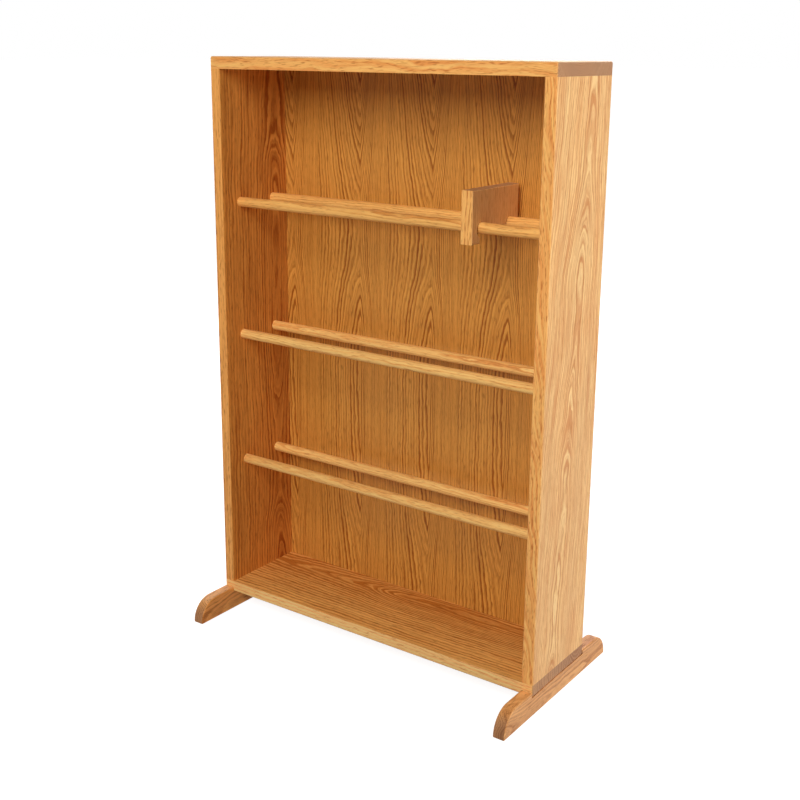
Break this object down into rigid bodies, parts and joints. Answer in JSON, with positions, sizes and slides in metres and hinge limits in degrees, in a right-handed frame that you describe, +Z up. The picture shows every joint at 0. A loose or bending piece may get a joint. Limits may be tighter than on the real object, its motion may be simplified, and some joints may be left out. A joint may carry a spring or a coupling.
{
  "type": "media shelf",
  "caption": "Freestanding open oak media shelf with rows of paired rods for disc cases, a divider that slides along the top rods, a fixed back and runner feet.",
  "frame": {"origin": "on the floor, midway between the outer faces of the sides and midway between the ends of the feet, which is the middle of the cabinet's width and depth", "axes": "+Z up, +X to the right of someone who faces the open front, -Y out of the open front"},
  "size_m": [0.61, 0.318, 0.933],
  "materials": {
    "solid_oak": "satin clear lacquer",
    "rod_oak": "satin clear lacquer",
    "back_veneer": "satin clear lacquer",
    "pin_beech": "unfinished",
    "screw_steel": "zinc plated",
    "brad_steel": "bright"
  },
  "bodies": {
    "cabinet": {"top_board": "solid_oak", "bottom_board": "solid_oak", "left_side": "solid_oak", "right_side": "solid_oak", "left_foot": "solid_oak", "right_foot": "solid_oak", "bottom_front_rod": "rod_oak", "bottom_rear_rod": "rod_oak", "middle_front_rod": "rod_oak", "middle_rear_rod": "rod_oak", "top_front_rod": "rod_oak", "top_rear_rod": "rod_oak", "top_left_pins": "pin_beech", "bottom_left_pins": "pin_beech", "top_right_pins": "pin_beech", "bottom_right_pins": "pin_beech", "left_foot_screws": "screw_steel", "right_foot_screws": "screw_steel", "back_panel": "back_veneer", "back_panel_brads": "brad_steel"},
    "divider": {"divider": "solid_oak"}
  },
  "joints": [
    {"name": "divider_slide", "type": "slide", "parent": "cabinet", "child": "divider", "axis": [1, 0, 0], "range_m": [-0.438, 0.114]}
  ]
}
